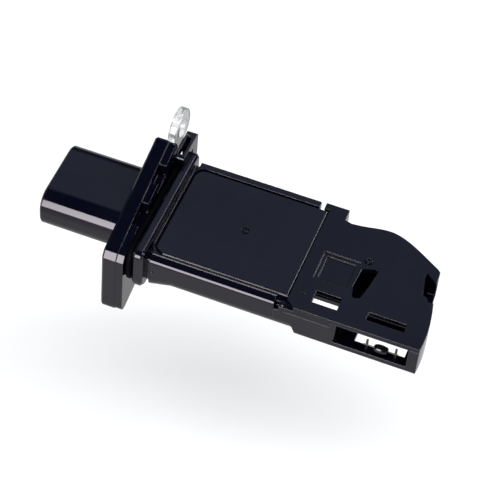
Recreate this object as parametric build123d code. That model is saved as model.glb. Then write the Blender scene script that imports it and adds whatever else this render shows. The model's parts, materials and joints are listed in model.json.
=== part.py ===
from build123d import *
import os

# Plug-in mass airflow sensor, in millimetres.
# Origin: on the seat face of the flange, on the centre plane of the body.
# +X runs along the body to the sensing tip, +Y across it, +Z out of the cover plate.

# Lengths along X
flange_thickness = 6.4
flange_layer = 2.2
connector_length = 23.0
groove_width = 2.5
rim_width = 3.1
side_recess = 1.3
body_length = 36.7
slit_width = 1.4
cover_overhang = 1.5
tip_length = 40.3
floor_taper = 6.5
rounding_length = 3.6
rounding_taper = 1.9

# Widths and heights of the body
body_half_width = 19.7
slit_depth = 1.8
slit_floor = 1.7
cover_top = 5.0
cover_thickness = 1.6
body_bottom = -6.0
root_drop = 1.9
body_corner = 4.0
tip_bottom = -5.5
tray_floor = 1.8
neck_half_width = 18.9
neck_bottom = -5.4
neck_corner = 3.0

# Cover plate
cover_near_inset = 3.25
cover_far_inset = 2.4
cover_gap = 0.5
cover_end_gap = 1.1
cover_corner = 3.0
cover_edge = 0.4
dimple_place = (20.8, 0.7)
dimple_radius = 1.1
dimple_depth = 0.35
lip_width = 0.5
lip_step = 0.3
shoulder_drop = 0.75
shoulder_round = 1.5
waist_inset = 0.9

# Tray inside the body
tray_end_wall = 2.4
tray_side_wall = 2.0
adhesive_width = 0.9
adhesive_depth = 0.6
adhesive_inset = 0.6

# Connector shroud, on the body's centre plane
connector_width = 25.8
connector_height = 12.7
connector_mid_z = -0.3
connector_corner = 5.2
connector_wall = 1.6
connector_back = 2.6
mouth_chamfer = 0.5
latch_width = 7.0
latch_length = 4.2
latch_height = 1.6
latch_setback = 4.0
key_width = 1.4
key_height = 1.1
key_spread = 6.2
key_setback = 2.5

# Terminals
pin_count = 5
pin_pitch = 3.9
pin_width = 1.5
pin_thickness = 0.64
pin_mouth_gap = 5.5
pin_inner_reach = 1.0
pin_foot = 1.6

# Flange outline in the YZ plane
flange_near_y = -21.9
flange_near_top = 3.3
flange_near_bottom = -20.7
flange_far_y = 17.1
flange_far_top = 13.3
flange_far_low_y = 23.0
flange_far_bottom = -10.6
flange_radii = (0.9, 0.9, 1.2, 5.0, 2.2)
flange_cut_width = 1.5
flange_cut_drop = 1.8
flange_step = 0.2
flange_edge = 0.5
notch_depth = 4.0
notch_spans = ((2.9, 9.0), (-10.7, -3.5))
screw_hole_radius = 2.65
sleeve_place = (-9.8, -13.0)
sleeve_radius = 3.5
sleeve_gap = 0.1

# Clear eyelet at the flange's upper far corner
eyelet_place = (22.8, 13.0)
eyelet_radius = 6.0
eyelet_thickness = 2.4
eyelet_depth = 0.6
eyelet_tongue = 10.0
eyelet_tongue_width = 4.4
eyelet_angle = 215
eyelet_gap = 0.1

# Rim and seal
rim_half_width = 21.7
rim_top = 7.2
rim_bottom = -7.9
rim_corners = (2.0, 2.2, 4.0)
rim_edge = 0.7
seal_height = 2.2
seal_width = 2.1
seal_edge = 0.6
seal_gap = 0.1

# Lug on the tip side of the flange's far end
lug_length = 3.2
lug_near = 14.4
lug_far = 25.7
lug_top = 10.0
lug_arm = 2.6
lug_drop = 8.6
lug_pocket = (0.8, 2.4, 15.9, 23.2)

# Base plate and board; the parts on it are placed by shares of the tray
plate_thickness = 1.5
board_thickness = 0.8
board_margin = 0.5
gel_depth = 2.5
chip_size = (8.0, 8.0, 1.2)
chip_place = (0.44, 0.56)
resistor_size = (2.0, 1.25, 0.5)
resistor_places = ((0.17, 0.18), (0.27, 0.18), (0.30, 0.84), (0.41, 0.84), (0.52, 0.84), (0.75, 0.20))
capacitor_size = (3.2, 1.6, 1.4)
capacitor_places = ((0.19, 0.90), (0.67, 0.79), (0.67, 0.61), (0.38, 0.28))

# Outline of the sensing tip, as shares of its length and width
end_points = ((1, 0), (1.004, 0.180), (0.977, 0.385), (0.943, 0.560), (0.928, 0.715))
far_points = ((0.905, 0.739), (0.710, 0.861), (0.500, 0.936), (0.345, 0.911), (0.222, 0.893))
shoulder_out = 0.25
tip_step = (0.171, 0.905)

# Bypass in the sensing tip, also placed by shares
shell_wall = 1.7
floor_thickness = 1.6
lid_gap = 0.1
duct_left = 0.127
near_wall_end = 0.419
near_wall_width = 3.2
mouth_end = 0.928
mouth_lip = 1.4
divider_wall = 1.5
divider_points = ((0.439, 0.221), (0.551, 0.343), (0.586, 0.525), (0.571, 0.683))
skirt_end = 0.375
skirt_depth = 1.6
skirt_width = 1.5
outlet_left = 0.851
outlet_span = (0.462, 0.690)
floor_inlet_window = (0.538, 0.898, 0.076, 0.246)
floor_duct_window = (0.151, 0.362, 0.201, 0.348)
lid_window = (0.199, 0.380, 0.100, 0.213)
lid_slot = (0.586, 0.856, 0.102, 0.177)
lid_recess = (0.136, 0.400, 0.310, 0.576)
lid_recess_depth = 0.9
lid_recess_step = 1.1
tear_corners = (
    (0.422, 0.523, 0.5),
    (0.533, 0.561, 0.6),
    (0.516, 0.398, 2.0),
    (0.491, 0.261, 1.2),
    (0.437, 0.246, 1.0),
    (0.412, 0.348, 2.0),
)
notch_corners = (
    (0.829, 0.688, 0.4),
    (0.950, 0.590, 0),
    (1.060, 0.560, 0),
    (1.060, 0.180, 0),
    (0.994, 0.260, 1.0),
    (0.957, 0.360, 3.0),
    (0.908, 0.460, 1.2),
    (0.877, 0.470, 0.4),
)
lid_cut = (2.6, 2.1)
stake_place = (0.444, 0.612)
stake_radius = 1.1
small_stakes = ((0.655, 0.699), (0.122, 0.150))
small_stake_radius = 0.6
stake_height = 0.4
stake_hole = 0.55
stake_gap = 0.1

# Sensing element
carrier_inner_reach = 4.0
carrier_reach = 0.350
carrier_near = 0.393
carrier_width = 6.8
carrier_thickness = 1.0
carrier_nose = 1.6
sensor_size = (3.2, 2.6, 0.4)
sensor_setback = 3.3
seal_cap_length = 2.4
seal_cap_height = 0.7
seal_cap_overlap = 0.7

# Air temperature bead
lead_width = 0.6
lead_thickness = 0.5
lead_pitch = 1.1
lead_foot = 2.5
lead_floor_gap = 0.5
post_inset = 2.1
post_places = (0.633, 0.839)
post_top = -0.6
bead_z = -2.1
bead_radius = 1.0
bead_length = 3.6
bead_chamfer = 0.35
bead_wire = 0.35
wire_overhang = 0.9

# Planes that several pieces share
cover_bottom = cover_top - cover_thickness
cover_near = -body_half_width + cover_near_inset
cover_far = body_half_width - cover_far_inset
rim_end = groove_width + rim_width
body_start = rim_end + side_recess
body_end = body_start + body_length
tip_start = body_end + slit_width
cover_left = rim_end + cover_end_gap
cover_end = tip_start + cover_overhang
tray_left = body_start + tray_end_wall
tray_right = body_end - tray_end_wall
tray_near = cover_near + tray_side_wall
tray_far = cover_far - tray_side_wall
tray_bottom = body_bottom + tray_floor
board_bottom = tray_bottom + plate_thickness
board_top = board_bottom + board_thickness
near_edge = -body_half_width
connector_end = -flange_thickness - connector_length
socket_floor = -flange_thickness - connector_back
lid_start = cover_end + lid_gap
duct_floor = tip_bottom + floor_thickness
post_y = near_edge + post_inset
flange_slope = (flange_far_top - flange_near_top) / (flange_far_y - flange_near_y)
lip_near = cover_near - cover_gap - lip_width


def block(x0, x1, y0, y1, z0, z1):
    """Rectangular block between two opposite corners."""
    centre = Pos((x0 + x1) / 2, (y0 + y1) / 2, (z0 + z1) / 2)
    return centre * Box(x1 - x0, y1 - y0, z1 - z0)


def rectangle(x0, x1, y0, y1):
    """Rectangle between two opposite corners."""
    return Pos((x0 + x1) / 2, (y0 + y1) / 2) * Rectangle(x1 - x0, y1 - y0)


def rounded_outline(corners):
    """Closed outline from corners given as two coordinates and a radius."""
    outline = Polygon(*[(u, v) for u, v, _ in corners], align=None)
    for u, v, radius in corners:
        if radius > 0:
            corner = outline.vertices().sort_by_distance((u, v, 0))[0]
            outline = fillet(corner, radius)
    return outline


def in_tip(u, v):
    """Place in the sensing tip, from shares of its length and width."""
    return tip_start + u * tip_length, near_edge + v * 2 * body_half_width


def tip_rectangle(u0, u1, v0, v1):
    """Rectangle in the sensing tip, from shares of its length and width."""
    x0, y0 = in_tip(u0, v0)
    x1, y1 = in_tip(u1, v1)
    return rectangle(x0, x1, y0, y1)


def tip_corners(corners):
    """Rounded outline in the sensing tip, from shares and radii."""
    return rounded_outline([(*in_tip(u, v), radius) for u, v, radius in corners])


def along_x(section, x0, x1):
    """Section drawn in Y and Z, carried from one X to another."""
    return extrude(Plane.YZ.offset(x0) * section, x1 - x0, dir=(1, 0, 0))


def upright(outline, z0, z1):
    """Outline drawn in X and Y, carried from one height to another."""
    return extrude(Pos(0, 0, z0) * outline, z1 - z0, dir=(0, 0, 1))


def flange_outline(step):
    """Slanted flange, low at the near end and high at the far end."""
    low_cut, high_cut, far_top, far_low, near_low = flange_radii
    near_y = flange_near_y + step
    near_top = flange_near_top - step
    return rounded_outline((
        (near_y, near_top - flange_cut_drop, low_cut),
        (near_y + flange_cut_width, near_top + flange_cut_width * flange_slope, high_cut),
        (flange_far_y, flange_far_top - step, far_top),
        (flange_far_low_y, flange_far_bottom, far_low),
        (near_y, flange_near_bottom + step, near_low),
    ))


def connector_shroud():
    """Rounded tube around the terminals, with its latch nib and key ribs."""
    outer = Pos(0, connector_mid_z) * RectangleRounded(connector_width, connector_height, connector_corner)
    inner = offset(outer, -connector_wall)
    shroud = along_x(outer, connector_end, -flange_thickness)
    shroud = chamfer(shroud.edges().group_by(Axis.X)[0], mouth_chamfer)
    shroud -= along_x(inner, connector_end, socket_floor)
    rib_top = connector_mid_z + connector_height / 2 - connector_wall
    rib_start = connector_end + key_setback
    half = key_width / 2
    for y in (-key_spread, key_spread):
        shroud += block(rib_start, socket_floor, y - half, y + half, rib_top - key_height, rib_top)
    return shroud + latch_nib()


def latch_nib():
    """Wedge under the shroud that a plug's latch snaps over."""
    front = connector_end + latch_setback
    back = front + latch_length
    root = connector_mid_z - connector_height / 2
    profile = Polygon((front, root), (back, root - latch_height), (back, root), align=None)
    return extrude(Plane.XZ * profile, latch_width / 2, both=True)


def flange():
    """Flange plate with its two layers, notches and places for both screw inserts."""
    outer = along_x(flange_outline(0), -flange_thickness, -flange_layer)
    outer = chamfer(outer.edges().group_by(Axis.X)[0], flange_edge)
    plate = outer + along_x(flange_outline(flange_step), -flange_layer, 0)
    for near, far in notch_spans:
        plate -= notch_cut(near, far)
    hole = Pos(*sleeve_place) * Circle(sleeve_radius + sleeve_gap)
    plate -= along_x(hole, -flange_thickness, 0)
    return plate - along_x(eyelet_outline(eyelet_gap), -eyelet_depth - eyelet_thickness, -eyelet_depth)


def notch_cut(near, far):
    """One notch in the top edge of the flange's tip-side layer, parallel to that edge."""
    near_top = flange_near_top + flange_slope * (near - flange_near_y)
    far_top = flange_near_top + flange_slope * (far - flange_near_y)
    profile = Polygon(
        (near, near_top - notch_depth),
        (far, far_top - notch_depth),
        (far, far_top + 1),
        (near, near_top + 1),
        align=None,
    )
    return along_x(profile, -flange_layer, 0)


def neck_section(grow):
    """Section of the neck under the seal, grown evenly."""
    width = 2 * (neck_half_width + grow)
    height = cover_bottom - neck_bottom + 2 * grow
    middle = (cover_bottom + neck_bottom) / 2
    return Pos(0, middle) * RectangleRounded(width, height, neck_corner + grow)


def neck():
    """Neck with the seal groove between the flange and the rim."""
    core = along_x(neck_section(0), 0, body_start)
    near_top, far_top, low = rim_corners
    corners = (
        (-rim_half_width, rim_top, near_top),
        (rim_half_width, rim_top, far_top),
        (rim_half_width, rim_bottom, low),
        (-rim_half_width, rim_bottom, low),
    )
    rim = along_x(rounded_outline(corners), groove_width, groove_width + rim_width)
    ends = rim.faces().sort_by(Axis.X)
    return core + chamfer(ends[0].edges() + ends[-1].edges(), rim_edge)


def lug():
    """Hooked lug with a slot through its arm, bridging the seal at the flange's far end."""
    profile = rounded_outline((
        (lug_near, lug_top - lug_arm, 0.6),
        (lug_near, lug_top, 0.8),
        (lug_far, lug_top, 0.8),
        (lug_far, lug_top - lug_drop, 0.8),
        (rim_half_width + seal_gap, lug_top - lug_drop, 0),
        (rim_half_width + seal_gap, lug_top - lug_arm, 0),
    ))
    x0, x1, y0, y1 = lug_pocket
    pocket = block(x0, x1, y0, y1, lug_top - lug_arm, lug_top)
    return along_x(profile, 0, lug_length) - pocket


def tray_section(bottom):
    """Body section with a sloped near shoulder below the lip and rounded lower corners."""
    corners = (
        (lip_near, cover_top, 0),
        (body_half_width, cover_top, 0),
        (body_half_width, bottom, body_corner),
        (-body_half_width, bottom, body_corner),
        (-body_half_width, cover_top - shoulder_drop, shoulder_round),
        (lip_near, cover_top - lip_step, 0),
    )
    return rounded_outline(corners)


def body_tray():
    """Open tray of the body, with the seat for the cover plate."""
    root = Plane.YZ.offset(body_start) * tray_section(body_bottom - root_drop)
    shallow = Plane.YZ.offset(body_start + floor_taper) * tray_section(body_bottom)
    tray = loft([root.faces()[0], shallow.faces()[0]])
    tray += along_x(tray_section(body_bottom), body_start + floor_taper, body_end)
    waist = offset(tray_section(body_bottom - root_drop), -waist_inset)
    tray += along_x(waist, rim_end, body_start)
    lip = upright(cover_outline(cover_gap + lip_width), cover_bottom, cover_top)
    tray += lip - block(body_start, cover_end + 1, near_edge, body_half_width, cover_bottom, cover_top)
    tray -= block(tray_left, tray_right, tray_near, tray_far, tray_bottom, cover_top)
    tray -= upright(cover_outline(cover_gap), cover_bottom, cover_top)
    return tray - adhesive_ring()


def housing():
    """Single black moulding: socket, flange, neck, rim, lug and tray."""
    solid = flange() + connector_shroud() + neck() + lug() + body_tray()
    solid -= connector_terminals()
    solid -= sensor_carrier()
    solid -= bead_leadframe()
    return solid


def terminal(y):
    """One blade from the socket to its foot on the board."""
    y0 = y - pin_width / 2
    y1 = y + pin_width / 2
    top = connector_mid_z + pin_thickness / 2
    low = top - pin_thickness
    bend_x = tray_left + pin_inner_reach
    blade = block(connector_end + pin_mouth_gap, bend_x, y0, y1, low, top)
    blade = chamfer(blade.edges().group_by(Axis.X)[0].filter_by(Axis.Y), pin_thickness / 3)
    blade += block(bend_x - pin_thickness, bend_x, y0, y1, board_top, top)
    blade += block(bend_x, bend_x + pin_foot, y0, y1, board_top, board_top + pin_thickness)
    return blade


def terminal_places():
    """Y of each terminal, evenly pitched about the centre plane."""
    return [pin_pitch * (i - (pin_count - 1) / 2) for i in range(pin_count)]


def connector_terminals():
    """All terminal blades as one group of separate solids."""
    return Compound([terminal(y) for y in terminal_places()])


def screw_sleeve():
    """Metal sleeve that takes the lower flange screw."""
    ring = Circle(sleeve_radius) - Circle(screw_hole_radius)
    return along_x(Pos(*sleeve_place) * ring, -flange_thickness, 0)


def eyelet_outline(grow):
    """Round eyelet with the tongue that is moulded into the flange."""
    half = eyelet_tongue_width / 2 + grow
    tongue = rectangle(0, eyelet_tongue + grow, -half, half)
    return Pos(*eyelet_place) * (Circle(eyelet_radius + grow) + Rot(0, 0, eyelet_angle) * tongue)


def screw_eyelet():
    """Clear plastic eyelet that takes the upper flange screw."""
    outline = eyelet_outline(0) - Pos(*eyelet_place) * Circle(screw_hole_radius)
    return along_x(outline, -eyelet_depth - eyelet_thickness, -eyelet_depth)


def seal_ring():
    """Rubber profile seal around the neck, in the groove."""
    middle = seal_gap + seal_height / 2
    path = Plane.YZ.offset(groove_width / 2) * neck_section(middle).face().outer_wire()
    section = chamfer(Rectangle(seal_width, seal_height).vertices(), seal_edge)
    plane = Plane(origin=path.position_at(0), x_dir=(1, 0, 0), z_dir=path.tangent_at(0))
    return sweep(plane * section, path)


def cover_outline(grow):
    """Cover plate's outline, rounded at the flange end and square at the tip, grown on three sides."""
    return rounded_outline((
        (cover_left - grow, cover_near - grow, cover_corner + grow),
        (cover_end, cover_near - grow, 0),
        (cover_end, cover_far + grow, 0),
        (cover_left - grow, cover_far + grow, cover_corner + grow),
    ))


def cover_plate():
    """Flat cover plate with bevelled upper edges and the moulding dimple."""
    plate = upright(cover_outline(0), cover_bottom, cover_top)
    plate = chamfer(plate.faces().sort_by(Axis.Z)[-1].edges(), cover_edge)
    x, y = dimple_place
    dimple = Pos(cover_left + x, y) * Circle(dimple_radius)
    nub = Pos(cover_left + x, y) * Circle(dimple_radius / 2)
    return plate - upright(dimple - nub, cover_top - dimple_depth, cover_top)


def adhesive_ring():
    """Ring of adhesive in a groove around the tray's mouth."""
    near = tray_near - adhesive_inset
    far = tray_far + adhesive_inset
    left = tray_left - adhesive_inset
    right = tray_right + adhesive_inset
    width = adhesive_width
    ring = rectangle(left - width, right + width, near - width, far + width)
    ring -= rectangle(left, right, near, far)
    return upright(ring, cover_bottom - adhesive_depth, cover_bottom)


def base_plate():
    """Metal plate that carries the board."""
    return block(
        tray_left + board_margin,
        tray_right - board_margin,
        tray_near + board_margin,
        tray_far - board_margin,
        tray_bottom,
        board_bottom,
    )


def circuit_board():
    """Board on the metal plate."""
    return block(
        tray_left + board_margin,
        tray_right - board_margin,
        tray_near + board_margin,
        tray_far - board_margin,
        board_bottom,
        board_top,
    )


def on_board(size, place):
    """Small block standing on the board, its middle given by shares of the tray."""
    length, width, height = size
    u, v = place
    x = tray_left + u * (tray_right - tray_left)
    y = tray_near + v * (tray_far - tray_near)
    return Pos(x, y, board_top + height / 2) * Box(length, width, height)


def control_chip():
    """Signal chip, with chamfered upper edges."""
    body = on_board(chip_size, chip_place)
    return chamfer(body.edges().group_by(Axis.Z)[-1], 0.25)


def board_resistors():
    """Chip resistors as one group."""
    return Compound([on_board(resistor_size, place) for place in resistor_places])


def board_capacitors():
    """Ceramic capacitors as one group."""
    return Compound([on_board(capacitor_size, place) for place in capacitor_places])


def protective_gel():
    """Soft gel over the board, around everything that stands on it."""
    gel = block(tray_left, tray_right, tray_near, tray_far, board_top, board_top + gel_depth)
    gel -= control_chip()
    gel -= board_resistors()
    gel -= board_capacitors()
    gel -= connector_terminals()
    gel -= sensor_carrier()
    gel -= bead_leadframe()
    return gel


def end_curve(inset):
    """Curved end of the tip, moved inwards by an inset."""
    points = [in_tip(u, v) for u, v in end_points]
    moved = [(x - inset, y) for x, y in points]
    moved[0] = (moved[0][0], near_edge + inset)
    moved[-1] = (moved[-1][0], moved[-1][1] - inset)
    return Spline(*moved)


def far_curve(inset):
    """Wavy far side of the tip, moved inwards by an inset."""
    points = [in_tip(u, v) for u, v in far_points]
    moved = [(x, y - inset) for x, y in points]
    moved[0] = (moved[0][0] - inset, moved[0][1])
    return Spline(*moved)


def tip_outline(start):
    """Outline of the sensing tip, from a start in X to the curved end."""
    end_side = end_curve(0)
    far_side = far_curve(0)
    foot = in_tip(*tip_step)
    far_edge = body_half_width + shoulder_out
    edges = [
        Line((start, near_edge), end_side @ 0),
        end_side,
        Line(end_side @ 1, far_side @ 0),
        far_side,
        Line(far_side @ 1, foot),
        Line(foot, (foot[0], far_edge)),
        Line((foot[0], far_edge), (start, far_edge)),
        Line((start, far_edge), (start, near_edge)),
    ]
    return make_face(edges)


def duct_outline():
    """Space inside the tip's outer wall, from the solid root to the end."""
    end_side = end_curve(shell_wall)
    far_side = far_curve(shell_wall)
    left = in_tip(duct_left, 0)[0]
    near = near_edge + shell_wall
    far = (far_side @ 1).Y
    edges = [
        Line((left, near), end_side @ 0),
        end_side,
        Line(end_side @ 1, far_side @ 0),
        far_side,
        Line(far_side @ 1, (left, far)),
        Line((left, far), (left, near)),
    ]
    return make_face(edges)


def tenon():
    """Narrower root of the tip, between the two side slits."""
    side = body_half_width - slit_depth
    return rectangle(body_end, tip_start, -side, side)


def divider_line():
    """Middle line of the wall that parts the inlet from the measuring duct."""
    wall_x = in_tip(near_wall_end, 0)[0]
    root = (wall_x - mouth_lip / 3, near_edge + near_wall_width)
    return Spline(root, *[in_tip(u, v) for u, v in divider_points])


def near_wall():
    """Near wall of the tip, rounded where the inlet begins."""
    x1 = in_tip(near_wall_end, 0)[0]
    y1 = near_edge + near_wall_width
    return rounded_outline((
        (tip_start, near_edge, 0),
        (x1, near_edge, mouth_lip),
        (x1, y1, mouth_lip),
        (tip_start, y1, 0),
    ))


def base_walls():
    """Walls of the lower half, drawn from above."""
    walls = tip_outline(tip_start) + tenon() - duct_outline()
    left = in_tip(duct_left, 0)[0]
    right = in_tip(mouth_end, 0)[0]
    walls -= rectangle(left, right, near_edge, near_edge + shell_wall)
    walls -= tip_rectangle(outlet_left, 1, *outlet_span)
    walls += near_wall()
    walls += trace(divider_line(), divider_wall)
    return walls


def bypass_base():
    """Lower half of the bypass: floor, walls, inlet mouth and outlet."""
    floor = tip_outline(tip_start) + tenon()
    floor -= tip_rectangle(*floor_inlet_window)
    floor -= tip_rectangle(*floor_duct_window)
    base = upright(floor, tip_bottom, duct_floor)
    base += upright(base_walls(), duct_floor, cover_bottom)
    base += closed_root()
    base -= root_rounding()
    base -= lid_skirt()
    base += stakes(0, cover_top)
    base += stake_head()
    base -= sensor_carrier()
    base -= sensor_chip()
    base -= bead_leadframe()
    return base


def closed_root():
    """Lower part of the tip's root, which closes up to the body below both side slits."""
    section = tray_section(body_bottom) - rectangle(-body_half_width, body_half_width, slit_floor, cover_top)
    return along_x(section, body_end, tip_start)


def root_rounding():
    """What is cut from the tip's lower near edge, to carry on the body's rounding for a little way."""
    top = body_bottom + body_corner
    far = near_edge + body_corner
    end = tip_start + rounding_length
    profile = Polygon(
        (tip_start, top),
        (end, top),
        (end + rounding_taper, body_bottom),
        (tip_start, body_bottom),
        align=None,
    )
    wedge = extrude(Plane.XZ.offset(-far) * profile, body_corner, dir=(0, -1, 0))
    return wedge - along_x(Pos(far, top) * Circle(body_corner), tip_start, end + rounding_taper)


def stake_head():
    """Ring that the large pin's end is formed into."""
    ring = Circle(stake_radius) - Circle(stake_hole)
    return upright(Pos(*in_tip(*stake_place)) * ring, cover_top, cover_top + stake_height)


def stakes(grow, top):
    """Pins that pass through the lid and hold it."""
    pins = upright(Pos(*in_tip(*stake_place)) * Circle(stake_radius + grow), duct_floor, top)
    for place in small_stakes:
        pins += upright(Pos(*in_tip(*place)) * Circle(small_stake_radius + grow), duct_floor, top)
    return pins


def lid_skirt():
    """Strip that hangs from the lid's near edge over the lower half."""
    right = in_tip(skirt_end, 0)[0]
    far = near_edge + skirt_width
    return block(lid_start, right, near_edge, far, cover_bottom - skirt_depth, cover_bottom)


def bypass_lid():
    """Top plate of the sensing tip with its openings and recess."""
    plate = tip_outline(lid_start)
    plate += rectangle(tip_start, lid_start, cover_far + cover_gap, body_half_width + shoulder_out)
    plate -= tip_corners(tear_corners) + tip_corners(notch_corners)
    length, width = lid_cut
    corner = (lid_start, near_edge)
    plate -= Polygon(corner, (lid_start + length, near_edge), (lid_start, near_edge + width), align=None)
    plate -= tip_rectangle(*lid_window)
    plate -= tip_rectangle(*lid_slot)
    lid = upright(plate, cover_bottom, cover_top) + lid_skirt()
    recess = tip_rectangle(*lid_recess)
    lid -= upright(recess, cover_top - lid_recess_depth / 2, cover_top)
    lid -= upright(offset(recess, -lid_recess_step), cover_top - lid_recess_depth, cover_top)
    lid -= stakes(stake_gap, cover_top + 1)
    return lid


def sensor_carrier():
    """Blade that carries the sensing chip into the measuring duct."""
    left = tray_right - carrier_inner_reach
    right, near = in_tip(carrier_reach, carrier_near)
    far = near + carrier_width
    outline = rounded_outline((
        (left, near, 0),
        (right, near, carrier_nose),
        (right, far, carrier_nose),
        (left, far, 0),
    ))
    return upright(outline, board_top, board_top + carrier_thickness) - sensor_chip()


def sensor_chip():
    """Thin sensing chip let into the blade's upper face."""
    length, width, height = sensor_size
    right, near = in_tip(carrier_reach, carrier_near)
    middle = near + carrier_width / 2
    top = board_top + carrier_thickness
    return Pos(right - sensor_setback, middle, top - height / 2) * Box(length, width, height)


def chip_seal():
    """Cap of resin over the chip's bonded end."""
    length, width, _ = sensor_size
    carrier_right, near = in_tip(carrier_reach, carrier_near)
    right = carrier_right - sensor_setback - length / 2 + seal_cap_overlap
    middle = near + carrier_width / 2
    half = width / 2 + seal_cap_overlap
    top = board_top + carrier_thickness
    cap = block(right - seal_cap_length, right, middle - half, middle + half, top, top + seal_cap_height)
    return fillet(cap.edges().group_by(Axis.Z)[-1], seal_cap_height / 2)


def lead(row, post_x):
    """One strip of the lead frame, from the board to its post in the inlet."""
    half = lead_width / 2
    inner_y = tray_near + lead_width + row * lead_pitch
    outer_y = post_y - row * lead_pitch
    jog_x = lid_start + row * lead_pitch
    drop_x = in_tip(near_wall_end, 0)[0] - mouth_lip - row * lead_pitch
    low = tip_bottom + lead_floor_gap
    low_top = low + lead_thickness
    top = board_top + lead_thickness
    strip = block(tray_right - lead_foot, jog_x + half, inner_y - half, inner_y + half, board_top, top)
    strip += block(jog_x - half, jog_x + half, outer_y - half, inner_y + half, board_top, top)
    strip += block(jog_x - half, drop_x + half, outer_y - half, outer_y + half, board_top, top)
    strip += block(drop_x - half, drop_x + half, outer_y - half, outer_y + half, low, top)
    strip += block(drop_x - half, post_x + half, outer_y - half, outer_y + half, low, low_top)
    strip += block(post_x - half, post_x + half, outer_y - half, post_y + half, low, low_top)
    strip += block(post_x - half, post_x + half, post_y - half, post_y + half, low, post_top)
    return strip


def post_xs():
    """X of the two posts."""
    return [in_tip(u, 0)[0] for u in post_places]


def bead_leadframe():
    """Both strips with the posts that hold the air temperature bead."""
    return Compound([lead(row, x) for row, x in enumerate(post_xs())])


def bead_line_y():
    """Y of the bead and its wires, against the posts' near faces."""
    return post_y - lead_width / 2 - bead_wire / 2


def bead_wires():
    """Wires from the bead to the posts."""
    left_post, right_post = post_xs()
    middle = (left_post + right_post) / 2
    section = Pos(bead_line_y(), bead_z) * Circle(bead_wire / 2)
    left = along_x(section, left_post - wire_overhang, middle - bead_length / 2)
    right = along_x(section, middle + bead_length / 2, right_post + wire_overhang)
    return Compound([left, right])


def temperature_bead():
    """Glass bead between the posts, with bevelled ends."""
    middle = sum(post_xs()) / 2
    section = Pos(bead_line_y(), bead_z) * Circle(bead_radius)
    bead = along_x(section, middle - bead_length / 2, middle + bead_length / 2)
    return chamfer(bead.edges(), bead_chamfer)


pieces = {
    "housing": housing,
    "connector_terminals": connector_terminals,
    "screw_sleeve": screw_sleeve,
    "screw_eyelet": screw_eyelet,
    "seal_ring": seal_ring,
    "cover_plate": cover_plate,
    "cover_adhesive": adhesive_ring,
    "base_plate": base_plate,
    "circuit_board": circuit_board,
    "control_chip": control_chip,
    "board_resistors": board_resistors,
    "board_capacitors": board_capacitors,
    "protective_gel": protective_gel,
    "bypass_base": bypass_base,
    "bypass_lid": bypass_lid,
    "sensor_carrier": sensor_carrier,
    "sensor_chip": sensor_chip,
    "chip_seal": chip_seal,
    "bead_leadframe": bead_leadframe,
    "bead_wires": bead_wires,
    "temperature_bead": temperature_bead,
}

os.makedirs("parts", exist_ok=True)
for name, make in pieces.items():
    export_step(make(), f"parts/{name}.step")
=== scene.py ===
import json
import math

import bpy
from mathutils import Matrix, Quaternion, Vector


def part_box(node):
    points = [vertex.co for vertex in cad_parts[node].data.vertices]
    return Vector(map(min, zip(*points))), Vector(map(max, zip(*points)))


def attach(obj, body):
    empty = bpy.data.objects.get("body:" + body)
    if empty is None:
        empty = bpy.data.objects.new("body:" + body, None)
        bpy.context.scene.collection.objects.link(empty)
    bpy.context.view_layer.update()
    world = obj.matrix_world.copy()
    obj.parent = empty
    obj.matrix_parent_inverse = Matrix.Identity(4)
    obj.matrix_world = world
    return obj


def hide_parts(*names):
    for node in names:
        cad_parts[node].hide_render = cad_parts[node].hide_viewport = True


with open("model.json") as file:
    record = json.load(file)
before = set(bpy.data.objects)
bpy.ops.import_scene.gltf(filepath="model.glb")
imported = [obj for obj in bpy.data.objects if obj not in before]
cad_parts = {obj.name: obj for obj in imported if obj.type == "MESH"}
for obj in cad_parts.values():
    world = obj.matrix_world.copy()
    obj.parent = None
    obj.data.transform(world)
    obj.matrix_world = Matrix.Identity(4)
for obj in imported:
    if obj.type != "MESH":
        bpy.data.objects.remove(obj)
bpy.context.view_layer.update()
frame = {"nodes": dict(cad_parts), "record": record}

nodes = frame["nodes"]
MM = 0.001


# Shading helpers

def tree_of(name):
    """A new material with an empty node tree, its output and its Principled shader."""
    mat = bpy.data.materials.new(name)
    mat.use_nodes = True
    tree = mat.node_tree
    tree.nodes.clear()
    out = tree.nodes.new("ShaderNodeOutputMaterial")
    shader = tree.nodes.new("ShaderNodeBsdfPrincipled")
    tree.links.new(shader.outputs["BSDF"], out.inputs["Surface"])
    return mat, tree, shader


def place(tree):
    """Position on the object, in metres, for all patterns."""
    return tree.nodes.new("ShaderNodeTexCoord").outputs["Object"]


def stretched(tree, vector, scale):
    """The same position with each axis stretched."""
    node = tree.nodes.new("ShaderNodeMapping")
    node.inputs["Scale"].default_value = scale
    tree.links.new(vector, node.inputs["Vector"])
    return node.outputs["Vector"]


def noise(tree, vector, per_metre, detail, rough=0.5):
    """Cloudy pattern with so many cells to a metre."""
    node = tree.nodes.new("ShaderNodeTexNoise")
    node.inputs["Scale"].default_value = per_metre
    node.inputs["Detail"].default_value = detail
    node.inputs["Roughness"].default_value = rough
    tree.links.new(vector, node.inputs["Vector"])
    return node.outputs["Fac"]


def spread(tree, value, low, high, from_low=0.3, from_high=0.7):
    """A pattern's value carried to a range."""
    node = tree.nodes.new("ShaderNodeMapRange")
    node.inputs["From Min"].default_value = from_low
    node.inputs["From Max"].default_value = from_high
    node.inputs["To Min"].default_value = low
    node.inputs["To Max"].default_value = high
    tree.links.new(value, node.inputs["Value"])
    return node.outputs["Result"]


def tint(tree, value, first, second):
    """Two colours blended by a pattern."""
    node = tree.nodes.new("ShaderNodeValToRGB")
    for element, position, colour in zip(node.color_ramp.elements, (0.35, 0.65), (first, second)):
        element.position = position
        element.color = (*colour, 1)
    tree.links.new(value, node.inputs["Fac"])
    return node.outputs["Color"]


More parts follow.
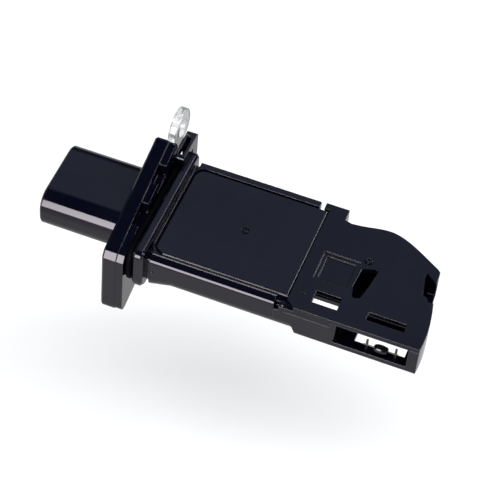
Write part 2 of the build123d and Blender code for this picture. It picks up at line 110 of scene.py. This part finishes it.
def soft_edge(tree, radius):
    """Normal that rounds every edge by a radius."""
    node = tree.nodes.new("ShaderNodeBevel")
    node.samples = 6
    node.inputs["Radius"].default_value = radius
    return node.outputs["Normal"]


def bump(tree, height, depth, strength, normal):
    """Another normal with a pattern's relief on it."""
    node = tree.nodes.new("ShaderNodeBump")
    node.inputs["Distance"].default_value = depth
    node.inputs["Strength"].default_value = strength
    tree.links.new(height, node.inputs["Height"])
    tree.links.new(normal, node.inputs["Normal"])
    return node.outputs["Normal"]


def set_up(tree, shader, colour, rough, normal, **fixed):
    """Patterns and fixed values for the Principled shader."""
    for name, pattern in (("Base Color", colour), ("Roughness", rough), ("Normal", normal)):
        tree.links.new(pattern, shader.inputs[name])
    for name, value in fixed.items():
        shader.inputs[name.replace("_", " ")].default_value = value


# Materials, one for each slot of the record

def black_plastic(name, dull, glossy):
    """Glossy black moulding with uneven gloss, faint peel and fine lines along its length."""
    mat, tree, shader = tree_of(name)
    at = place(tree)
    cloud = noise(tree, at, 160, 2.0)
    grain = noise(tree, at, 2600, 2.0)
    peel = noise(tree, at, 420, 2.0)
    normal = bump(tree, peel, 0.00006, 0.10, soft_edge(tree, 0.00035))
    normal = bump(tree, grain, 0.00001, 0.08, normal)
    lines = noise(tree, stretched(tree, at, (0.05, 0.05, 1)), 1500, 3.0)
    normal = bump(tree, lines, 0.00001, 0.35, normal)
    gloss = spread(tree, noise(tree, at, 22, 1.0), dull, glossy)
    tree.links.new(gloss, shader.inputs["Specular IOR Level"])
    set_up(tree, shader,
           colour=tint(tree, cloud, (0.0011, 0.0013, 0.0044), (0.0017, 0.0019, 0.0054)),
           rough=spread(tree, cloud, 0.07, 0.12),
           normal=normal, IOR=1.5, Specular_Tint=(1, 0.93, 1, 1))
    return mat


def rubber():
    """Matt black seal rubber with a fine bloom."""
    mat, tree, shader = tree_of("seal_rubber")
    at = place(tree)
    bloom = noise(tree, at, 350, 4.0)
    fine = noise(tree, at, 5200, 3.0)
    normal = bump(tree, fine, 0.00003, 0.35, soft_edge(tree, 0.0003))
    set_up(tree, shader,
           colour=tint(tree, bloom, (0.0008, 0.0008, 0.0016), (0.0018, 0.0018, 0.0028)),
           rough=spread(tree, bloom, 0.5, 0.62), normal=normal, IOR=1.5, Specular_IOR_Level=0.03)
    return mat


def bright_metal(name, light, dark, low, high, lines, along):
    """Worked metal: fine drawn lines, a slight cloud and rounded edges."""
    mat, tree, shader = tree_of(name)
    at = place(tree)
    drawn = noise(tree, stretched(tree, at, along), lines, 3.0)
    cloud = noise(tree, at, 500, 3.0)
    normal = bump(tree, drawn, 0.00001, 0.25, soft_edge(tree, 0.0002))
    set_up(tree, shader, colour=tint(tree, cloud, dark, light),
           rough=spread(tree, drawn, low, high), normal=normal, Metallic=1.0)
    return mat


def matt(name, light, dark, low, high, grain=3000, depth=0.00002):
    """Dull moulded, printed or fired stuff with a speckle."""
    mat, tree, shader = tree_of(name)
    at = place(tree)
    speck = noise(tree, at, grain, 4.0, 0.6)
    cloud = noise(tree, at, 300, 3.0)
    normal = bump(tree, speck, depth, 0.4, soft_edge(tree, 0.0001))
    set_up(tree, shader, colour=tint(tree, speck, dark, light),
           rough=spread(tree, cloud, low, high), normal=normal)
    return mat


def clear(name, colour, low, high, ior, ripple):
    """Clear gel or plastic, with painted shade that greys its colour where the surface is seen edge-on."""
    mat, tree, shader = tree_of(name)
    at = place(tree)
    wave = noise(tree, at, ripple, 2.0)
    tone = tuple(c * 0.93 for c in colour)
    normal = bump(tree, wave, 0.00008, 0.14, soft_edge(tree, 0.00015))
    painted_edge_shade = tree.nodes.new("ShaderNodeLayerWeight")
    painted_edge_shade.inputs["Blend"].default_value = 0.5
    # Painted shade: dark grey mixed into the colour where the surface turns edge-on to the eye
    shade = tree.nodes.new("ShaderNodeMix")
    shade.data_type = "RGBA"
    shade.inputs["B"].default_value = (0.16, 0.17, 0.18, 1)
    tree.links.new(spread(tree, painted_edge_shade.outputs["Facing"], 0, 1, 0.50, 0.92), shade.inputs["Factor"])
    tree.links.new(tint(tree, wave, tone, colour), shade.inputs["A"])
    set_up(tree, shader, colour=shade.outputs["Result"],
           rough=spread(tree, wave, low, high), normal=normal,
           IOR=ior, Transmission_Weight=0.85)
    return mat


materials = {
    "black_plastic": black_plastic("black_plastic", 0.41, 0.49),
    "seal_rubber": rubber(),
    "clear_plastic": clear("clear_plastic", (0.97, 0.985, 0.99), 0.02, 0.06, 1.49, 700),
    "bright_steel": bright_metal("bright_steel", (0.96, 0.96, 0.95), (0.90, 0.90, 0.90),
                                 0.42, 0.55, 900, (1, 6, 6)),
    "contact_metal": bright_metal("contact_metal", (0.16, 0.155, 0.15), (0.10, 0.10, 0.095),
                                  0.3, 0.45, 2500, (0.2, 1, 1)),
    "plate_aluminium": bright_metal("plate_aluminium", (0.80, 0.80, 0.82), (0.70, 0.70, 0.72),
                                    0.3, 0.45, 1500, (0.1, 1, 1)),
    "grey_silicone": matt("grey_silicone", (0.17, 0.17, 0.18), (0.14, 0.14, 0.15), 0.35, 0.5, 1200),
    "board_ceramic": matt("board_ceramic", (0.75, 0.73, 0.69), (0.68, 0.66, 0.62), 0.5, 0.65),
    "chip_resin": matt("chip_resin", (0.035, 0.035, 0.035), (0.022, 0.022, 0.022), 0.5, 0.65),
    "resistor_ceramic": matt("resistor_ceramic", (0.07, 0.07, 0.08), (0.04, 0.04, 0.05), 0.35, 0.5),
    "capacitor_ceramic": matt("capacitor_ceramic", (0.48, 0.38, 0.28), (0.40, 0.31, 0.22), 0.4, 0.55),
    "seal_resin": matt("seal_resin", (0.10, 0.10, 0.11), (0.07, 0.07, 0.08), 0.12, 0.25, 900),
    "sensor_silicon": matt("sensor_silicon", (0.20, 0.22, 0.28), (0.15, 0.17, 0.22),
                           0.08, 0.14, 2500, 0.000004),
    "clear_gel": clear("clear_gel", (0.90, 0.93, 0.93), 0.04, 0.10, 1.41, 260),
    "bead_glass": matt("bead_glass", (0.004, 0.004, 0.006), (0.002, 0.002, 0.003), 0.06, 0.14, 1400, 0.00001),
}

# The lid is a second moulding of the same plastic with a duller face
tip_plastic = black_plastic("black_plastic_tip", 0.30, 0.40)
slots = {s["node"]: s["material_slot"] for s in frame["record"]["subparts"]}
for name, obj in nodes.items():
    mesh = obj.data
    mesh.materials.clear()
    mesh.materials.append(tip_plastic if name == "bypass_lid" else materials[slots[name]])


# The eyelet's edges are rounded like those of a moulded ring

EYELET_ROUND = 1.05 * MM
eyelet = nodes["screw_eyelet"]
joined = eyelet.modifiers.new("joined", "WELD")
joined.merge_threshold = 0.01 * MM
rounded = eyelet.modifiers.new("rounded", "BEVEL")
rounded.width = EYELET_ROUND
rounded.segments = 8
rounded.limit_method = "ANGLE"
rounded.angle_limit = math.radians(50)
rounded.harden_normals = True


# Small moulding marks that are finer than the CAD solids

def surface(name, rings, closed_top, slot="black_plastic"):
    """Piece skinned over rings of points, riding with the sensor."""
    count = len(rings[0])
    points = [point for ring in rings for point in ring]
    faces = []
    for row in range(len(rings) - 1):
        for i in range(count):
            j = (i + 1) % count
            faces.append((row * count + i, row * count + j, (row + 1) * count + j, (row + 1) * count + i))
    if closed_top:
        faces.append(tuple((len(rings) - 1) * count + i for i in range(count)))
    mesh = bpy.data.meshes.new(name)
    mesh.from_pydata(points, [], faces)
    mesh.materials.append(materials[slot])
    for face in mesh.polygons:
        face.use_smooth = True
    obj = bpy.data.objects.new(name, mesh)
    bpy.context.scene.collection.objects.link(obj)
    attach(obj, "root")
    return obj


def gate_ring(name, centre, profile, count=56):
    """Torn ring that the gate leaves in the dimple, from a profile of radii and heights."""
    x, y, z = centre
    rings = []
    for radius, rise in profile:
        ring = []
        for i in range(count):
            turn = 2 * math.pi * i / count
            torn = 1 + 0.45 * math.sin(3 * turn + 0.4) + 0.25 * math.sin(7 * turn)
            height = rise * torn if rise > DIMPLE_FLOOR else rise
            ring.append((x + radius * MM * math.cos(turn), y + radius * MM * math.sin(turn), z + height * MM))
        rings.append(ring)
    return surface(name, rings, False)


def dome(name, centre, reach, axis, count=32, rows=7):
    """Rounded stud on a face: its foot's half sizes and its height, standing along an axis."""
    half_u, half_v, height = reach
    rings = []
    for row in range(rows):
        lift = math.pi / 2 * row / rows
        ring = []
        for i in range(count):
            turn = 2 * math.pi * i / count
            cos, sin = math.cos(turn), math.sin(turn)
            u = half_u * math.copysign(abs(cos) ** 0.7, cos) * math.cos(lift) ** 0.6
            v = half_v * math.copysign(abs(sin) ** 0.7, sin) * math.cos(lift) ** 0.6
            w = height * math.sin(lift)
            offset = (u, v, w) if axis == "Z" else (u, -w, v)
            ring.append(tuple(c + o * MM for c, o in zip(centre, offset)))
        rings.append(ring)
    return surface(name, rings, True)


def glazed_bead(name, low, high, swell, count=40, rows=14):
    """Drop-shaped glaze over the bead, along X between its wires."""
    middle = [(a + b) / 2 for a, b in zip(low, high)]
    half = (high[0] - low[0]) / 2 + swell
    radius = (high[1] - low[1]) / 2 + swell
    rings = []
    for row in range(rows + 1):
        t = math.pi * (0.02 + 0.96 * row / rows)
        x = middle[0] - half * math.cos(t)
        r = radius * math.sin(t) ** 0.42
        rings.append([(x, middle[1] + r * math.cos(2 * math.pi * i / count),
                       middle[2] + r * math.sin(2 * math.pi * i / count)) for i in range(count)])
    return surface(name, rings, True, "bead_glass")


DIMPLE_FLOOR = -0.35
DIMPLE_ALONG = 20.8 * MM
DIMPLE_ASIDE = 0.7 * MM
NUB_ALONG = 1.1 * MM
NUB_HEIGHT = -0.4 * MM
STUD_BEFORE_END = 0.5 * MM
STUD_FROM_SIDE = 0.95 * MM
GLAZE = 0.25 * MM
cover_low, cover_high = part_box("cover_plate")
near_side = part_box("bypass_base")[0][1]
gate_ring("gate_mark", (cover_low[0] + DIMPLE_ALONG, DIMPLE_ASIDE, cover_high[2]),
          ((0.34, DIMPLE_FLOOR), (0.46, 0.06), (0.60, 0.24), (0.74, 0.07), (0.84, DIMPLE_FLOOR)))
bead = glazed_bead("bead_glaze", *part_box("temperature_bead"), GLAZE)
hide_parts("temperature_bead")
dome("side_nub", (cover_low[0] + NUB_ALONG, near_side, NUB_HEIGHT), (0.55, 0.45, 0.3), "-Y")
dome("corner_stud", (cover_high[0] - STUD_BEFORE_END, near_side + STUD_FROM_SIDE, cover_low[2]),
     (0.8, 0.85, 0.85), "Z")


# Stage: a white floor that keeps the object's shadow, and is only there from above

FLOOR_HEIGHT = -0.062
FLOOR_HALF = 4.0
FLOOR_TONE = 0.75

# Distances from the object between which the floor's glow grows
FLOOR_NEAR = 0.22
FLOOR_FAR = 0.60

# How much of the floor's look is glow, and the glow's level, for the camera and for reflections
GLOW_SHARE_NEAR = 0.28
GLOW_SHARE_FAR = 1.0
GLOW_SHARE_MIRRORED = 0.90
GLOW_SEEN = 1.0
GLOW_MIRRORED = 0.65


def floor_material():
    """Matt floor with some glow of its own: it keeps the shadow near the object and is white further out."""
    mat = bpy.data.materials.new("floor")
    mat.use_nodes = True
    tree = mat.node_tree
    tree.nodes.clear()
    out = tree.nodes.new("ShaderNodeOutputMaterial")
    path = tree.nodes.new("ShaderNodeLightPath")
    shade = tree.nodes.new("ShaderNodeBsdfDiffuse")
    shade.inputs["Color"].default_value = (FLOOR_TONE, FLOOR_TONE, FLOOR_TONE, 1)
    glow = tree.nodes.new("ShaderNodeEmission")
    glow.inputs["Color"].default_value = (1, 1, 1, 1)
    level = tree.nodes.new("ShaderNodeMapRange")
    level.inputs["To Min"].default_value = GLOW_MIRRORED
    level.inputs["To Max"].default_value = GLOW_SEEN
    tree.links.new(path.outputs["Is Camera Ray"], level.inputs["Value"])
    tree.links.new(level.outputs["Result"], glow.inputs["Strength"])
    seen = tree.nodes.new("ShaderNodeMath")
    seen.operation = "MAXIMUM"
    tree.links.new(path.outputs["Is Glossy Ray"], seen.inputs[0])
    tree.links.new(path.outputs["Is Transmission Ray"], seen.inputs[1])
    mirrored = tree.nodes.new("ShaderNodeMath")
    mirrored.operation = "MULTIPLY"
    mirrored.inputs[1].default_value = GLOW_SHARE_MIRRORED
    tree.links.new(seen.outputs[0], mirrored.inputs[0])
    away = tree.nodes.new("ShaderNodeVectorMath")
    away.operation = "LENGTH"
    tree.links.new(place(tree), away.inputs[0])
    share = tree.nodes.new("ShaderNodeMath")
    share.operation = "MULTIPLY_ADD"
    growing = spread(tree, away.outputs["Value"], GLOW_SHARE_NEAR, GLOW_SHARE_FAR, FLOOR_NEAR, FLOOR_FAR)
    tree.links.new(growing, share.inputs[1])
    tree.links.new(path.outputs["Is Camera Ray"], share.inputs[0])
    tree.links.new(mirrored.outputs[0], share.inputs[2])
    mixed = tree.nodes.new("ShaderNodeMixShader")
    tree.links.new(share.outputs[0], mixed.inputs["Fac"])
    tree.links.new(shade.outputs[0], mixed.inputs[1])
    tree.links.new(glow.outputs[0], mixed.inputs[2])
    side = tree.nodes.new("ShaderNodeNewGeometry")
    gone = tree.nodes.new("ShaderNodeBsdfTransparent")
    one_way = tree.nodes.new("ShaderNodeMixShader")
    tree.links.new(side.outputs["Backfacing"], one_way.inputs["Fac"])
    tree.links.new(mixed.outputs[0], one_way.inputs[1])
    tree.links.new(gone.outputs[0], one_way.inputs[2])
    tree.links.new(one_way.outputs[0], out.inputs["Surface"])
    return mat


def flat_sheet(name, half, z, mat):
    """Level square sheet."""
    mesh = bpy.data.meshes.new(name)
    corners = [(-half, -half, z), (half, -half, z), (half, half, z), (-half, half, z)]
    mesh.from_pydata(corners, [], [(0, 1, 2, 3)])
    mesh.materials.append(mat)
    obj = bpy.data.objects.new(name, mesh)
    bpy.context.scene.collection.objects.link(obj)
    return obj


floor = flat_sheet("floor", FLOOR_HALF, FLOOR_HEIGHT, floor_material())


# Surroundings and lamps

CLEAR_SEES_WHITE = 0.45


def world_light():
    """White below the horizon, dark above with a grey-blue panel behind, and white for the camera."""
    world = bpy.data.worlds.new("studio")
    bpy.context.scene.world = world
    world.use_nodes = True
    tree = world.node_tree
    tree.nodes.clear()
    out = tree.nodes.new("ShaderNodeOutputWorld")
    sky = tree.nodes.new("ShaderNodeBackground")
    at = tree.nodes.new("ShaderNodeTexCoord")
    direction = tree.nodes.new("ShaderNodeSeparateXYZ")
    tree.links.new(at.outputs["Generated"], direction.inputs[0])

    def ramp(stops):
        height = tree.nodes.new("ShaderNodeMapRange")
        height.inputs["From Min"].default_value = -1
        tree.links.new(direction.outputs["Z"], height.inputs["Value"])
        node = tree.nodes.new("ShaderNodeValToRGB")
        while len(node.color_ramp.elements) < len(stops):
            node.color_ramp.elements.new(0.5)
        for element, (z, colour) in zip(node.color_ramp.elements, stops):
            element.position = (z + 1) / 2
            element.color = (*colour, 1)
        tree.links.new(height.outputs["Result"], node.inputs["Fac"])
        return node.outputs["Color"]

    back = ramp([(-1, (1, 1, 1)), (-0.02, (1, 1, 1)), (0.06, (0.05, 0.05, 0.08)),
                 (0.50, (0.06, 0.06, 0.09)), (0.66, (0.34, 0.41, 0.49)),
                 (0.79, (0.34, 0.41, 0.50)), (0.88, (0.01, 0.01, 0.02))])
    front = ramp([(-1, (1, 1, 1)), (-0.02, (0.8, 0.8, 0.8)), (0.12, (0.15, 0.15, 0.17)),
                  (0.55, (0.10, 0.10, 0.12)), (0.65, (0.01, 0.01, 0.02))])
    way = tree.nodes.new("ShaderNodeMapRange")
    way.inputs["From Min"].default_value = -0.2
    way.inputs["From Max"].default_value = 0.2
    tree.links.new(direction.outputs["Y"], way.inputs["Value"])
    mixed = tree.nodes.new("ShaderNodeMix")
    mixed.data_type = "RGBA"
    tree.links.new(way.outputs["Result"], mixed.inputs["Factor"])
    tree.links.new(front, mixed.inputs["A"])
    tree.links.new(back, mixed.inputs["B"])
    path = tree.nodes.new("ShaderNodeLightPath")
    surround = tree.nodes.new("ShaderNodeMix")
    surround.data_type = "RGBA"
    surround.inputs["B"].default_value = (1, 1, 1, 1)
    pale = tree.nodes.new("ShaderNodeMath")
    pale.operation = "MULTIPLY_ADD"
    pale.inputs[1].default_value = CLEAR_SEES_WHITE
    tree.links.new(path.outputs["Is Transmission Ray"], pale.inputs[0])
    tree.links.new(path.outputs["Is Camera Ray"], pale.inputs[2])
    tree.links.new(pale.outputs[0], surround.inputs["Factor"])
    tree.links.new(mixed.outputs["Result"], surround.inputs["A"])
    tree.links.new(surround.outputs["Result"], sky.inputs["Color"])
    sky.inputs["Strength"].default_value = 1.0
    tree.links.new(sky.outputs[0], out.inputs["Surface"])


def lamp(name, at, aim, width, height, radiance, glossy=True, turn=0.0):
    """Area lamp given by the brightness of its face, turned about its own axis."""
    data = bpy.data.lights.new(name, "AREA")
    data.shape = "RECTANGLE"
    data.size = width
    data.size_y = height
    data.energy = radiance * math.pi * width * height
    obj = bpy.data.objects.new(name, data)
    bpy.context.scene.collection.objects.link(obj)
    obj.location = at
    obj.rotation_mode = "QUATERNION"
    facing = (Vector(aim) - Vector(at)).to_track_quat("-Z", "Y")
    obj.rotation_quaternion = facing @ Quaternion((0, 0, 1), turn)
    obj.visible_camera = False
    obj.visible_glossy = glossy
    return obj


world_light()
lamp("softbox", (-0.20, -0.98, 0.36), (0.02, 0, 0.36), 0.42, 0.80, 12.0)
lamp("overhead", (0.08, 0.02, 1.0), (0.08, 0.02, 0), 2.2, 0.5, 4.9, glossy=False, turn=math.radians(24))
lamp("kicker", (0.77, 0.47, 0.48), (0.03, 0, 0), 0.75, 0.30, 12.0)


# Camera, fitted to the photograph's edges: ASIDE moves the eye along the picture's right and up

AZIMUTH = math.radians(16.55)
ELEVATION = math.radians(49.3)
ROLL = math.radians(5.75)
DISTANCE = 0.5744
AIM = (0.0308, 0, 0)
ASIDE = (-0.00401, 0.00219)
LENS = 153.6
SENSOR_WIDTH = 36
NEAREST = 0.01


def photo_camera():
    """Camera that looks at the object as the photograph does."""
    data = bpy.data.cameras.new("camera")
    data.lens = LENS
    data.sensor_width = SENSOR_WIDTH
    data.clip_start = NEAREST
    cam = bpy.data.objects.new("camera", data)
    bpy.context.scene.collection.objects.link(cam)
    flat = math.cos(ELEVATION)
    back = Vector((math.sin(AZIMUTH) * flat, -math.cos(AZIMUTH) * flat, math.sin(ELEVATION)))
    level = Vector((0, 0, 1)).cross(back).normalized()
    rise = back.cross(level)
    right = math.cos(ROLL) * level + math.sin(ROLL) * rise
    up = math.cos(ROLL) * rise - math.sin(ROLL) * level
    eye = Vector(AIM) + ASIDE[0] * right + ASIDE[1] * up + DISTANCE * back
    turn = Matrix((right, up, back)).transposed().to_4x4()
    cam.matrix_world = Matrix.Translation(eye) @ turn
    bpy.context.scene.camera = cam


photo_camera()
bpy.context.scene.view_settings.view_transform = "Standard"
